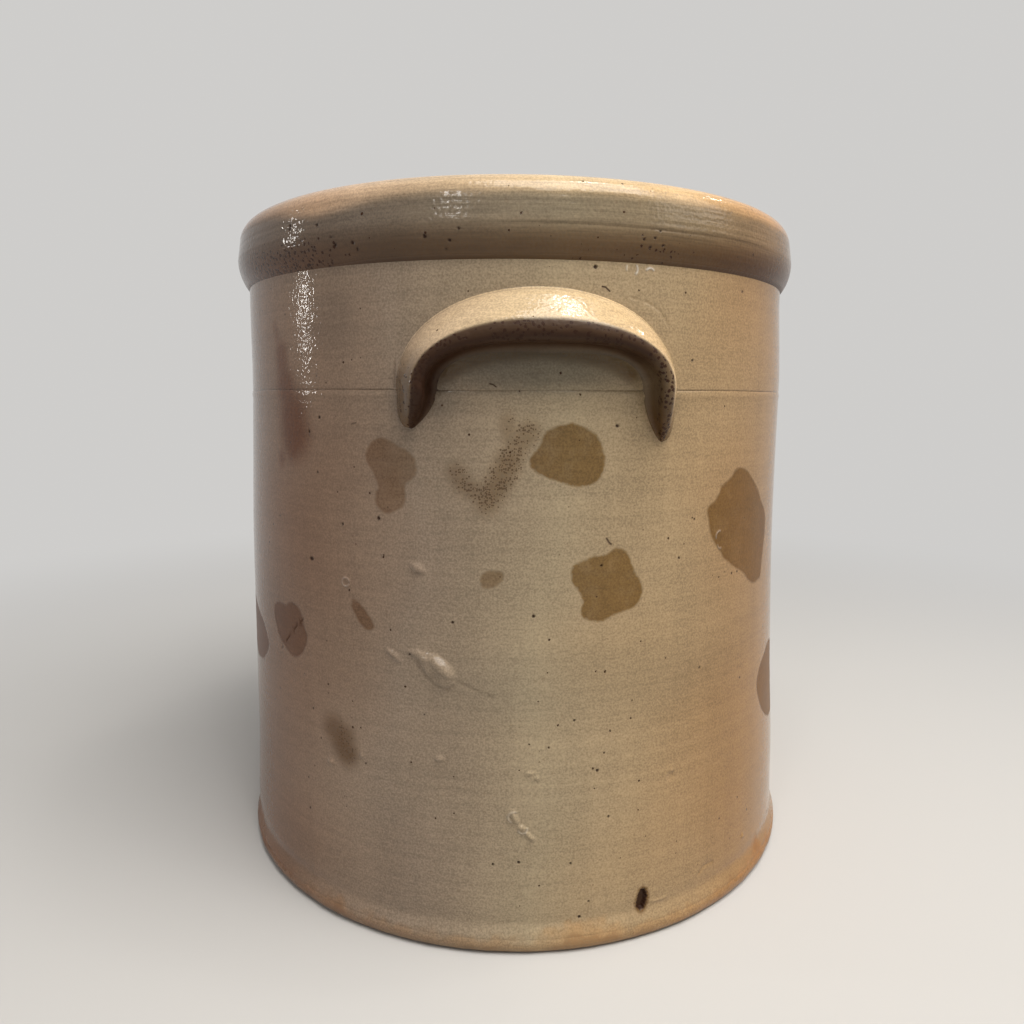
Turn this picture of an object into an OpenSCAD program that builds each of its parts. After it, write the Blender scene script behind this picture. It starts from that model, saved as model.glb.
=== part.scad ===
// Stoneware crock of about five gallons: a base slab, a wall thrown in two
// rings, a rolled rim collar, two applied lug handles and a poured slip lining.
// Millimetres, +Z up. The origin is the middle of the foot, on the table.
// The front handle faces -Y.

/* [Body] */
// Height from the table to the top of the rim
crock_h = 323; // [260:1:420]
// Outside diameter of the wall, carried down to the table
base_d = 304; // [250:1:380]
// Outside diameter of the wall just under the rim
neck_d = 286; // [240:1:360]
// Thickness of the thrown wall
wall_t = 10; // [7:0.5:14]
// Thickness of the floor
floor_t = 14; // [10:0.5:20]
// Radius of the cove between floor and wall, inside
cove_r = 16; // [6:1:30]
// Thickness of the slip lining
lining_t = 1; // [0.6:0.1:2]

/* [Foot] */
// Height of the slab's edge, below the wall's first ring
slab_edge_h = 7; // [4:0.5:9]
// Width of the bevel trimmed off the foot
bevel_w = 2; // [0.5:0.5:4]
// Height of the bevel trimmed off the foot
bevel_h = 3; // [1:0.5:3.5]

/* [Scored seam] */
// Drop from the underside of the rim to the scored seam
seam_drop = 50; // [30:1:90]
// Width of the scored line
score_w = 2; // [0.8:0.1:3]
// Depth of the scored line
score_depth = 1; // [0.4:0.1:1.5]
// Rise of the bevelled joint, from outside to inside
seam_rise = 4; // [0.5:0.5:8]

/* [Rim] */
// Height of the collar
rim_h = 32.5; // [27:0.5:45]
// Overhang of the collar outside the neck
rim_overhang = 4.75; // [2:0.25:7]
// Step of the collar inside the wall
rim_inset = 2; // [1.5:0.5:5]
// Radius of the curve under the collar
under_r = 22; // [12:1:36]
// Radius of the rounded edge of the mouth
mouth_edge_r = 3; // [1:0.5:5]
// Width of the flat land on top of the rim
rim_land_w = 2.75; // [1:0.25:5]
// Height of the tongue that seats the collar on the wall
tongue_h = 8; // [4:0.5:12]
// Thickness of the tongue
tongue_t = 4; // [3:0.5:6]

/* [Handles] */
// Width of a handle over the outside of its legs, along the wall
handle_w = 118; // [90:1:150]
// Height of a handle from its tips to its crown
handle_h = 57; // [45:1:75]
// Gap between the underside of the rim and the crown
handle_gap = 11; // [4:1:30]
// Length of the straight legs below the arch
leg_h = 19; // [8:1:24]
// Reach of the lip from the wall, at the crown
handle_reach = 16; // [10:1:30]
// Thickness of a handle at the wall
handle_root_t = 16; // [12:0.5:20]
// Thickness of the rounded lip
lip_t = 9; // [6:0.5:14]
// Droop of the lip towards the inside of the arch
lip_droop = 6.5; // [2:0.5:12]
// Height of the smoothed cove under the lip, at the wall
under_cove = 6; // [2:0.5:9]
// Height of the smoothed fillet on top, at the wall
top_fillet = 2; // [1:0.5:4]
// Turn of the tips towards the middle
toe_in = 1; // [0:0.5:10]
// Clearance between a handle's root and the wall
seat_gap = 0.05; // [0.03:0.01:0.3]

/* [Hidden] */
$fn = 180;

stoneware = [0.60, 0.50, 0.37];
rim_stoneware = [0.58, 0.48, 0.36];
handle_stoneware = [0.68, 0.57, 0.42];
slip_brown = [0.20, 0.11, 0.06];

// Shares of the full reach left at the springing of the arch and at the tips
spring_share = 0.88;
tip_share = 0.12;
// Share of the root's thickness left at the tips
tip_root_share = 0.55;
// Steps of the handle's sweep, and of the arcs in each outline
arch_steps = 28;
leg_steps = 5;
arc_steps = 10;
root_steps = 6;
// Share of the reach, from the wall, over which the top fillet runs out
brow_share = 0.25;
// Largest radius of the lip near the tips, as a share of the reach there
lip_reach_share = 0.45;
// Length of the rounded end of each tip
tip_round = 1.5;

neck_z = crock_h - rim_h;
seam_z = neck_z - seam_drop;
neck_r = neck_d / 2;
rim_r = neck_r + rim_overhang;
mouth_r = neck_r - wall_t - rim_inset;
tongue_z = neck_z + tongue_h;
tongue_r = inner_r(neck_z) + tongue_t;
shoulder_r = rim_r - mouth_r - mouth_edge_r - rim_land_w;
under_rise = sqrt(2 * under_r * rim_overhang - pow(rim_overhang, 2));
cove_mid_r = inner_r(floor_t + cove_r) - cove_r;

crown_z = neck_z - handle_gap;
tip_z = crown_z - handle_h;
spring_z = tip_z + leg_h;
arch_half_w = handle_w / 2 - handle_root_t / 2 - top_fillet;
arch_rise = handle_h - leg_h - handle_root_t / 2 - top_fillet;

// Outside and inside radius of the wall at a height
function outer_r(z) = (base_d + (neck_d - base_d) * z / neck_z) / 2;
function inner_r(z) = outer_r(min(z, neck_z)) - wall_t;

// Points on an arc from one angle to another
function arc(centre, r, from, to, steps = arc_steps) =
    [for (i = [0:steps]) let (a = from + (to - from) * i / steps) centre + r * [cos(a), sin(a)]];

// Points on a curve that leaves a towards b and ends at c, without a itself
function bend(a, b, c, steps) =
    [for (i = [1:steps]) let (t = i / steps) pow(1 - t, 2) * a + 2 * t * (1 - t) * b + t * t * c];

function reversed(list) = [for (i = [len(list) - 1:-1:0]) list[i]];

// Cove between floor and wall, from the floor up, thickened inwards by a coat
function cove(coat = 0) = arc([cove_mid_r, floor_t + cove_r], cove_r - coat, -90, 0);

module turned(outline) {
    rotate_extrude() polygon(outline);
}

// Base slab: a disc with a rebate for the wall and a bevelled foot
module base_slab() {
    color(stoneware) turned([
        [0, 0],
        [base_d / 2 - bevel_w, 0],
        [outer_r(bevel_h), bevel_h],
        [outer_r(slab_edge_h), slab_edge_h],
        [cove_mid_r, slab_edge_h],
        [cove_mid_r, floor_t],
        [0, floor_t]
    ]);
}

// First ring of the wall: stands in the slab's rebate and ends at the scored seam
module lower_wall() {
    color(stoneware) turned(concat(
        [
            [cove_mid_r, slab_edge_h],
            [outer_r(slab_edge_h), slab_edge_h],
            [outer_r(seam_z - score_w / 2), seam_z - score_w / 2],
            [outer_r(seam_z) - score_depth, seam_z],
            [inner_r(seam_z + seam_rise), seam_z + seam_rise]
        ],
        reversed(cove())
    ));
}

// Second ring of the wall: seats on the bevelled joint and ends in a tongue
module upper_wall() {
    color(stoneware) turned([
        [outer_r(seam_z) - score_depth, seam_z],
        [outer_r(seam_z + score_w / 2), seam_z + score_w / 2],
        [neck_r, neck_z],
        [tongue_r, neck_z],
        [tongue_r, tongue_z],
        [inner_r(tongue_z), tongue_z],
        [inner_r(neck_z), neck_z],
        [inner_r(seam_z + seam_rise), seam_z + seam_rise]
    ]);
}

// Rim collar: a rounded band over the tongue, with a flat land on top
module rim_collar() {
    under_from = -asin(under_rise / under_r);
    color(rim_stoneware) turned(concat(
        arc([rim_r - under_r, neck_z + under_rise], under_r, under_from, 0),
        arc([rim_r - shoulder_r, crock_h - shoulder_r], shoulder_r, 0, 90),
        arc([mouth_r + mouth_edge_r, crock_h - mouth_edge_r], mouth_edge_r, 90, 180),
        [[mouth_r, tongue_z], [tongue_r, tongue_z], [tongue_r, neck_z]]
    ));
}

// Slip lining: a thin coat over the floor, the cove and the wall
module slip_lining() {
    color(slip_brown) turned(concat(
        [[0, floor_t]],
        cove(),
        [
            [inner_r(neck_z), neck_z],
            [inner_r(tongue_z), tongue_z],
            [inner_r(tongue_z) - lining_t, tongue_z],
            [inner_r(neck_z) - lining_t, neck_z]
        ],
        reversed(cove(lining_t)),
        [[0, floor_t + lining_t]]
    ));
}

// One cross-section of a handle as [reach, offset] pairs. Reach is measured out
// from the wall and offset towards the outside of the arch.
function handle_section(share, root_half) =
    let (
        lip_r = min(lip_t / 2, share * handle_reach * lip_reach_share),
        lip = [share * handle_reach - lip_r, -share * lip_droop],
        slope = atan2(root_half - lip[1] - lip_r, lip[0]),
        brow = [lip[0] * brow_share, root_half - lip[0] * brow_share * tan(slope)],
        top = root_half + share * top_fillet,
        foot = -root_half - share * under_cove
    )
    concat(
        bend([seat_gap, top], [seat_gap, root_half], brow, 3),
        arc(lip, lip_r, 90 - slope, -90, 7),
        bend([lip[0], lip[1] - lip_r], [seat_gap, -root_half], [seat_gap, foot], 6),
        [for (i = [1:root_steps]) [seat_gap, foot + (top - foot) * i / root_steps]]
    );

// Stations of the sweep, from the left tip over the crown to the right tip, each
// as [side, rise, drop, toe-in, share of reach, half thickness of the root]
function leg_station(side, i) =
    let (up = i / leg_steps, full = sin(90 * up), root = handle_root_t / 2)
    [
        side,
        0,
        (leg_h - tip_round) * (1 - up),
        toe_in * pow(1 - up, 2),
        tip_share + (spring_share - tip_share) * full,
        root * (tip_root_share + (1 - tip_root_share) * full)
    ];
function arch_station(i) =
    let (a = 180 * (1 - i / arch_steps))
    [cos(a), sin(a), 0, 0, spring_share + (1 - spring_share) * sin(a), handle_root_t / 2];
function stations() = concat(
    [for (i = [0:leg_steps - 1]) leg_station(-1, i)],
    [for (i = [0:arch_steps]) arch_station(i)],
    [for (i = [leg_steps - 1:-1:0]) leg_station(1, i)]
);

// A point on the wall's curve, at a distance along it from the handle's middle
function on_wall(along, z, reach) =
    let (r = outer_r(z) + reach, turn = along / outer_r(spring_z) * 180 / PI)
    [r * sin(turn), -r * cos(turn), z];

// A station's cross-section laid on the wall: offsets widen the arch
function ring(st) = [
    for (p = handle_section(st[4], st[5]))
        on_wall(
            (arch_half_w - st[3] + p[1]) * st[0],
            spring_z + (arch_rise + p[1]) * st[1] - st[2],
            p[0]
        )
];
function tip(side) = on_wall(side * (arch_half_w - toe_in), tip_z, tip_share * handle_reach / 2);

// Triangles of a sweep through rings of n points, closed by a point at each end
function sweep_faces(rings, n) =
    let (first_tip = rings * n, last_tip = rings * n + 1, last = (rings - 1) * n)
    concat(
        [for (i = [0:n - 1]) [first_tip, i, (i + 1) % n]],
        [
            for (j = [0:rings - 2], i = [0:n - 1])
                let (a = j * n + i, b = j * n + (i + 1) % n)
                each [[a, a + n, b + n], [a, b + n, b]]
        ],
        [for (i = [0:n - 1]) [last_tip, last + (i + 1) % n, last + i]]
    );

// Lug handle: an arched strap with a drooping lip, seated on the wall
module handle() {
    rings = [for (st = stations()) ring(st)];
    points = concat([for (r = rings) each r], [tip(-1), tip(1)]);
    color(handle_stoneware) polyhedron(points, sweep_faces(len(rings), len(rings[0])));
}

module front_handle() {
    handle();
}

module back_handle() {
    rotate(180) handle();
}

base_slab();
lower_wall();
upper_wall();
rim_collar();
front_handle();
back_handle();
slip_lining();
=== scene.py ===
import math

import bmesh
import bpy
from mathutils import Matrix, Vector, noise


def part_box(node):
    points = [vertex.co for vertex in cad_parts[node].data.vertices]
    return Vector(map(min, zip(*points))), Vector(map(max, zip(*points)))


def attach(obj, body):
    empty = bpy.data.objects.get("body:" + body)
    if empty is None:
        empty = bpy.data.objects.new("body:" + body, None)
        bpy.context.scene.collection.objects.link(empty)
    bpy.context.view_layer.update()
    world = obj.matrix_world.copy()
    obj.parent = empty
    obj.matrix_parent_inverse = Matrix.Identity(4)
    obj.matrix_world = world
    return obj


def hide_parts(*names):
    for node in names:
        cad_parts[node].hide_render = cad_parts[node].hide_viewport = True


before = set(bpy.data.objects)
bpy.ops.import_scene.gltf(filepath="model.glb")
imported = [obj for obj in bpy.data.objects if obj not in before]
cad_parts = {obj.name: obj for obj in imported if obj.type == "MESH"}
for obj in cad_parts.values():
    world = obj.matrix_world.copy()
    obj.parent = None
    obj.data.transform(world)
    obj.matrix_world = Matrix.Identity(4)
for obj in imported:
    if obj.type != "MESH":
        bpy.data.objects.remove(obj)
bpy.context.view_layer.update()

# Foot slab
# The crock's floor is a round slab of grey stoneware clay, cut off the wheel with a cord.
# Its edge was trimmed to a soft bevel by hand, and the kiln toasted the thin glaze on it orange brown.
mm = 0.001
turns = 480
same_spot = 1e-6
sharp_edge = math.radians(55)
mean_r = 150.0
rim_tilt = 0.9
wall_thick = 10.0
cove_r = 16.0
edge_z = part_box("lower_wall")[0].z / mm
floor_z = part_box("base_slab")[1].z / mm
seam_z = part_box("upper_wall")[0].z / mm
neck_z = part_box("rim_collar")[0].z / mm
top_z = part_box("rim_collar")[1].z / mm
foot_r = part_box("lower_wall")[1].x / mm
seam_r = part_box("upper_wall")[1].x / mm
foot_flare = 1.3


def wall_r(z):
    """Outside radius of the wall at a height, before the hand's unevenness."""
    return foot_r + (seam_r - foot_r) * (z - edge_z) / (seam_z + 1 - edge_z)


def line(start, end, step):
    """Points from start towards end, about a step apart and without end."""
    count = max(1, round(math.dist(start, end) / step))
    return [tuple(a + (b - a) * i / count for a, b in zip(start, end)) for i in range(count)]


def arc(middle, radius, start, end, step):
    """Points on an arc between two angles in degrees, about a step apart."""
    count = max(2, round(radius * math.radians(abs(end - start)) / step))
    angles = [math.radians(start + (end - start) * i / count) for i in range(count + 1)]
    return [(middle[0] + radius * math.cos(a), middle[1] + radius * math.sin(a)) for a in angles]


def hump(value, middle, width):
    """A smooth bump of height 1."""
    return math.exp(-((value - middle) / width) ** 2)


def ease(value, low, high):
    """0 at low and 1 at high, with a soft start and end."""
    t = min(1.0, max(0.0, (value - low) / (high - low)))
    return t * t * (3 - 2 * t)


def turned(outline):
    """Spins an outline of radius and height in mm about the axis that the crock was thrown on."""
    bm = bmesh.new()
    points = [bm.verts.new((r * mm, 0, z * mm)) for r, z in outline]
    edges = [bm.edges.new(pair) for pair in zip(points, points[1:])]
    if outline[0][0] > 0:
        edges.append(bm.edges.new((points[-1], points[0])))
    bmesh.ops.spin(bm, geom=points + edges, cent=(0, 0, 0), axis=(0, 0, 1), angle=math.tau / 8,
                   steps=turns // 8)
    sector = bm.verts[:] + bm.edges[:] + bm.faces[:]
    bmesh.ops.spin(bm, geom=sector, cent=(0, 0, 0), axis=(0, 0, 1), angle=math.tau * 7 / 8, steps=7,
                   use_duplicate=True)
    bmesh.ops.remove_doubles(bm, verts=bm.verts, dist=same_spot)
    bmesh.ops.recalc_face_normals(bm, faces=bm.faces)
    return bm


def place_of(v):
    """A point's radius and height in mm, and its turn from the middle of the front."""
    return math.hypot(v.co.x, v.co.y) / mm, v.co.z / mm, math.atan2(v.co.x, -v.co.y)


def push(v, out, r):
    """Moves a point out from the axis by some mm, given its radius."""
    v.co.x *= 1 + out / r
    v.co.y *= 1 + out / r


def thrown(bm):
    """Leaves a piece as uneven as the hands did: waisted, leaning a little, with a tilted rim."""
    for v in bm.verts:
        z, turn = place_of(v)[1:]
        side = math.sin(turn)
        lean = 0.9 * hump(z, 0, 14) + 0.6 * hump(z, 55, 26) - 1.1 * hump(z, 160, 55)
        lean += 0.6 * hump(z, 250, 26)
        out = side * lean - 0.8 * hump(z, 120, 90)
        out += 0.4 * noise.noise(Vector((1.3 * side, 1.3 * math.cos(turn), z / 140)))
        v.co.z -= rim_tilt * v.co.x / mean_r * ease(z, 150, 300)
        push(v, out, mean_r)


def piece(bm, name, node, slot, *finishes):
    """Closes a mesh and hands it over as the piece that stands for a CAD node."""
    bmesh.ops.remove_doubles(bm, verts=bm.verts, dist=same_spot)
    bmesh.ops.recalc_face_normals(bm, faces=bm.faces)
    for f in bm.faces:
        f.smooth = True
    for e in bm.edges:
        e.smooth = e.calc_face_angle(0) < sharp_edge
    mesh = bpy.data.meshes.new(name)
    bm.to_mesh(mesh)
    bm.free()
    for finish in finishes:
        mesh.materials.append(finish)
    made = bpy.data.objects.new(name, mesh)
    bpy.context.scene.collection.objects.link(made)
    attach(made, "root")
    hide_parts(node)
    return made


def tint(red, green, blue):
    """A colour as it looks on screen, 0 to 255, turned into shader values."""
    shares = [c / 255 for c in (red, green, blue)]
    return [c / 12.92 if c <= 0.04045 else ((c + 0.055) / 1.055) ** 2.4 for c in shares] + [1.0]


def feed(tree, socket, value):
    """Links a socket to another, or sets its own value."""
    if isinstance(value, bpy.types.NodeSocket):
        tree.links.new(value, socket)
    else:
        socket.default_value = value


def sum_up(tree, how, first, second=0.0):
    """A Math node."""
    made = tree.nodes.new("ShaderNodeMath")
    made.operation = how
    feed(tree, made.inputs[0], first)
    feed(tree, made.inputs[1], second)
    return made.outputs[0]


def between(tree, value, low, high, to_low=0.0, to_high=1.0):
    """A Map Range node with soft ends."""
    made = tree.nodes.new("ShaderNodeMapRange")
    made.interpolation_type = "SMOOTHSTEP"
    for socket, given in zip(made.inputs, (value, low, high, to_low, to_high)):
        feed(tree, socket, given)
    return made.outputs[0]


def layer(tree, share, under, over, how="MIX"):
    """A Mix node for colours."""
    made = tree.nodes.new("ShaderNodeMix")
    made.data_type = "RGBA"
    made.blend_type = how
    feed(tree, made.inputs[0], share)
    feed(tree, made.inputs[6], under)
    feed(tree, made.inputs[7], over)
    return made.outputs[2]
def plus(tree, base, value, share):
    """A base with a share of a value added."""
    return sum_up(tree, "ADD", base, sum_up(tree, "MULTIPLY", value, share))


def sway(tree, value, size):
    """Noise brought to 0 in the middle, and to a size."""
    return sum_up(tree, "MULTIPLY", sum_up(tree, "SUBTRACT", value, 0.5), size)


def stained(tree, share, colour, stain):
    """A colour multiplied by a stain, as far as the share says."""
    return layer(tree, share, colour, layer(tree, 1.0, colour, stain, "MULTIPLY"))


def ramp(tree, value, *stops):
    """Colours along a value from 0 to 1, each given as its place and itself."""
    made = tree.nodes.new("ShaderNodeValToRGB")
    tree.links.new(value, made.inputs[0])
    made.color_ramp.elements[0].color = stops[0][1]
    made.color_ramp.elements[1].color = stops[-1][1]
    for spot, colour in stops[1:-1]:
        made.color_ramp.elements.new(spot).color = colour
    return made.outputs[0]


def finish(name):
    """A new material, its nodes, its shader and the coordinates that its patterns lie in."""
    made = bpy.data.materials.new(name)
    made.use_nodes = True
    tree = made.node_tree
    return made, tree, tree.nodes["Principled BSDF"], tree.nodes.new("ShaderNodeTexCoord").outputs["Object"]


def raised(tree, shader, height):
    """Gives a shader a relief, from heights in mm."""
    bump = tree.nodes.new("ShaderNodeBump")
    bump.inputs["Distance"].default_value = mm
    tree.links.new(height, bump.inputs["Height"])
    tree.links.new(bump.outputs[0], shader.inputs["Normal"])

def stretched(tree, place, x, y, z):
    """Coordinates scaled apart, for marks that run round or down the crock."""
    made = tree.nodes.new("ShaderNodeVectorMath")
    made.operation = "MULTIPLY"
    feed(tree, made.inputs[0], place)
    made.inputs[1].default_value = (x, y, z)
    return made.outputs[0]


def cloud(tree, place, scale, detail=2.0):
    """Soft noise, 0 to 1 about 0.5."""
    made = tree.nodes.new("ShaderNodeTexNoise")
    feed(tree, made.inputs["Vector"], place)
    made.inputs["Scale"].default_value = scale
    made.inputs["Detail"].default_value = detail
    return made.outputs["Fac"]


def specks(tree, place, scale, least, largest, more=0.0, torn=1.0):
    """Specks in some cells: least is the share of cells with none, and torn makes their edges uneven."""
    cells = tree.nodes.new("ShaderNodeTexVoronoi")
    feed(tree, cells.inputs["Vector"], place)
    cells.inputs["Scale"].default_value = scale
    pick = tree.nodes.new("ShaderNodeSeparateColor")
    tree.links.new(cells.outputs["Color"], pick.inputs[0])
    chance = sum_up(tree, "ADD", pick.outputs[0], more)
    size = between(tree, chance, least, least + 0.4, 0.0, largest)
    depth = sum_up(tree, "SUBTRACT", sum_up(tree, "MULTIPLY", size, torn), cells.outputs["Distance"])
    return between(tree, depth, 0.0, 0.04)


def mark(tree, name):
    """What a piece's own attribute says at a point, 0 where it has none."""
    made = tree.nodes.new("ShaderNodeAttribute")
    made.attribute_name = name
    return made.outputs["Fac"]


salt_glaze, tree, glaze, place = finish("salt_glaze")
axes = tree.nodes.new("ShaderNodeSeparateXYZ")
tree.links.new(place, axes.inputs[0])
across, height = axes.outputs[0], axes.outputs[2]
patchy = cloud(tree, place, 14, 4)
ragged = cloud(tree, place, 130, 3)
grain = cloud(tree, place, 1250, 3)
peel = cloud(tree, place, 700, 0)
wheel_lines = cloud(tree, stretched(tree, place, 4, 4, 420), 1, 3)
streaks = cloud(tree, stretched(tree, place, 150, 150, 1100), 1, 2)
combing = cloud(tree, stretched(tree, place, 30, 30, 1100), 1, 2)
runs = cloud(tree, stretched(tree, place, 120, 120, 5), 1, 2)
combed, pitted, scar_and_shade = mark(tree, "combed"), mark(tree, "pitted"), mark(tree, "scar_and_shade")

# One flank came out of the fire golden, the other a greyer, redder brown. The ramp also carries painted
# light:
# a warm reflected orange on the right flank, and painted shade with a reddish reflection on the left flank
flank_end = 0.16
drift = sway(tree, cloud(tree, place, 6, 2), 0.12)
flank_tone_and_light = ramp(tree, between(tree, sum_up(tree, "ADD", across, drift), -flank_end, flank_end),
             (0.0, tint(121, 89, 68)), (0.2, tint(146, 128, 110)), (0.5, tint(164, 147, 119)),
             (0.73, tint(166, 142, 108)), (1.0, tint(151, 112, 68)))

# Mottling, wheel lines, faint runs and the grain of the clay lighten and darken it
shade = 1.0
for pattern, darker, lighter in ((patchy, -0.08, 0.06), (wheel_lines, -0.05, 0.03), (runs, -0.03, 0.03),
                                 (streaks, -0.045, 0.035), (grain, -0.17, 0.145)):
    shade = sum_up(tree, "ADD", shade, between(tree, pattern, 0.3, 0.7, darker, lighter))
comb_shade = sum_up(tree, "MULTIPLY", combed, between(tree, combing, 0.3, 0.7, -0.13, 0.1))
colour = layer(tree, 1.0, flank_tone_and_light, sum_up(tree, "ADD", shade, comb_shade), "MULTIPLY")

# Painted light: the tops of the rim and handles are painted paler, as if lit from above
colour = stained(tree, mark(tree, "top_light"), colour, (2.2, 2.05, 1.85, 1.0))

# Dry brown patches where the salt did not take, ragged and in places darker at the edge
edge = sum_up(tree, "ADD", sway(tree, ragged, 0.16), sway(tree, grain, 0.14))
edge = sum_up(tree, "ADD", edge, mark(tree, "toast"))
dry = between(tree, edge, 0.46, 0.55)
hem = sum_up(tree, "MULTIPLY", dry, between(tree, edge, 0.64, 0.54, 0.0, 0.2))
hem = sum_up(tree, "MULTIPLY", hem, between(tree, patchy, 0.4, 0.6))
dry_tint = ramp(tree, between(tree, across, -flank_end, flank_end),
                (0.0, tint(205, 180, 160)), (0.5, tint(184, 165, 133)), (1.0, tint(190, 172, 122)))
toned = sum_up(tree, "MULTIPLY", dry, mark(tree, "tone"))
toned = sum_up(tree, "MULTIPLY", toned, between(tree, ragged, 0.3, 0.7, 0.9, 1.1))
colour = stained(tree, toned, colour, dry_tint)
colour = stained(tree, hem, colour, tint(190, 176, 160))

# Brown smoke and rust stains, soot in fine specks, and a grey bloom of ash. The brown also carries painted
# shade in the handles' lips and on the rim's lower face, and the brown and the grey carry painted shade on
# the wall under the front handle and where the handles meet the wall
smoke_and_shade = sum_up(tree, "MULTIPLY", mark(tree, "smoke_and_shade"), between(tree, patchy, 0.2, 0.8, 0.85, 1.1))
smoke_and_shade = sum_up(tree, "MULTIPLY", smoke_and_shade, between(tree, grain, 0.3, 0.7, 0.75, 1.15))
colour = stained(tree, smoke_and_shade, colour, tint(170, 147, 113))
colour = stained(tree, mark(tree, "rust"), colour, tint(196, 156, 126))
colour = stained(tree, mark(tree, "ash_and_shade"), colour, tint(194, 200, 208))
sooty = sum_up(tree, "MULTIPLY", mark(tree, "soot"), 1.1)
dots = specks(tree, place, 1200, 1.0, 0.5, sooty, between(tree, ragged, 0.3, 0.7, 0.7, 1.3))
colour = layer(tree, sum_up(tree, "MULTIPLY", dots, 0.7), colour, tint(76, 56, 38))

# Iron in the clay: small dark pits, some larger ones, and faint brown freckles
freckles = sum_up(tree, "MULTIPLY", specks(tree, place, 520, 0.6, 0.4), 0.14)
colour = layer(tree, freckles, colour, tint(98, 74, 52))
torn = between(tree, grain, 0.3, 0.7, 0.7, 1.3)
crowd = plus(tree, between(tree, patchy, 0.3, 0.7, -0.12, 0.12), pitted, 0.4)
pits = specks(tree, place, 250, 0.7, 0.17, crowd, torn)
large_pits = specks(tree, place, 130, 0.7, 0.12, sum_up(tree, "MULTIPLY", pitted, 0.2), torn)
pits = sum_up(tree, "MAXIMUM", pits, large_pits)
pits = sum_up(tree, "MAXIMUM", pits, specks(tree, place, 600, 1.0, 0.44, pitted, torn))
colour = layer(tree, sum_up(tree, "MULTIPLY", pits, 0.92), colour, tint(56, 27, 6))

# The foot's toasted band, with brown smears that reach above it, and at its lowest edge grime and a painted
# contact shadow
ragged_foot = sum_up(tree, "ADD", height, between(tree, ragged, 0.25, 0.75, -2.0 * mm, 2.0 * mm))
ragged_foot = sum_up(tree, "SUBTRACT", ragged_foot, between(tree, patchy, 0.5, 0.7, 0.0, 12 * mm))
band = between(tree, ragged_foot, 10 * mm, 4 * mm)
colour = stained(tree, sum_up(tree, "MULTIPLY", band, 0.68), colour, (1.0, 0.80, 0.60, 1.0))
# Painted contact shadow: the lowest few mm are darkened, together with grime
grime_and_contact_shade = between(tree, ragged_foot, 4.0 * mm, 1.4 * mm)
grime_and_contact_shade = sum_up(tree, "MULTIPLY", grime_and_contact_shade, between(tree, grain, 0.3, 0.6))
colour = stained(tree, sum_up(tree, "MULTIPLY", grime_and_contact_shade, 0.6), colour, (0.62, 0.5, 0.4, 1.0))

# Dirt in scratches, chips and the scored line, painted shade in the handles' lips and in the creases and
# lower face of the rim, and white rings that are partly flaked glaze and partly a painted glint
colour = layer(tree, scar_and_shade, colour, tint(46, 21, 4))
colour = layer(tree, mark(tree, "flake_and_glint"), colour, tint(226, 220, 212))
tree.links.new(colour, glaze.inputs["Base Color"])

# Glossy, but duller in the dry patches, on the toasted band, in the dirt and where shade is painted
rough = between(tree, patchy, 0.25, 0.75, 0.06, 0.11)
for dulled, share in ((dry, 0.3), (band, 0.25), (scar_and_shade, 0.5)):
    rough = plus(tree, rough, dulled, share)
tree.links.new(rough, glaze.inputs["Roughness"])
glaze.inputs["IOR"].default_value = 1.5
glaze.inputs["Specular IOR Level"].default_value = 0.22

# Orange peel of the salt glaze, smoother in the dry patches, with sunk pits. Heights in mm
skin = sum_up(tree, "MULTIPLY", peel, between(tree, dry, 0.0, 1.0, 0.11, 0.05))
combs = sum_up(tree, "MULTIPLY", combing, combed)
for relief, rise in ((grain, 0.012), (streaks, 0.02), (wheel_lines, 0.05), (combs, 0.10), (pits, -0.2),
                     (dry, -0.05)):
    skin = plus(tree, skin, relief, rise)
raised(tree, glaze, skin)

bare_clay, tree, clay, place = finish("bare_clay")
cord_marks = tree.nodes.new("ShaderNodeTexWave")
cord_marks.wave_type = "RINGS"
cord_marks.rings_direction = "Z"
cord_place = tree.nodes.new("ShaderNodeMapping")
tree.links.new(place, cord_place.inputs[0])
cord_place.inputs["Location"].default_value = (0.11, 0.05, 0)
tree.links.new(cord_place.outputs[0], cord_marks.inputs["Vector"])
cord_marks.inputs["Scale"].default_value = 60
cord_marks.inputs["Distortion"].default_value = 3
cord_marks.inputs["Detail Scale"].default_value = 0.6
clay_colour = layer(tree, cloud(tree, place, 22, 5), tint(158, 122, 88), tint(196, 164, 126))
clay_colour = layer(tree, specks(tree, place, 240, 0.7, 0.3), clay_colour, tint(80, 52, 34))
tree.links.new(clay_colour, clay.inputs["Base Color"])
clay.inputs["Roughness"].default_value = 0.85
cut = sum_up(tree, "MULTIPLY", cord_marks.outputs["Fac"], 0.25)
raised(tree, clay, plus(tree, cut, cloud(tree, place, 700, 4), 0.12))

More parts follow.
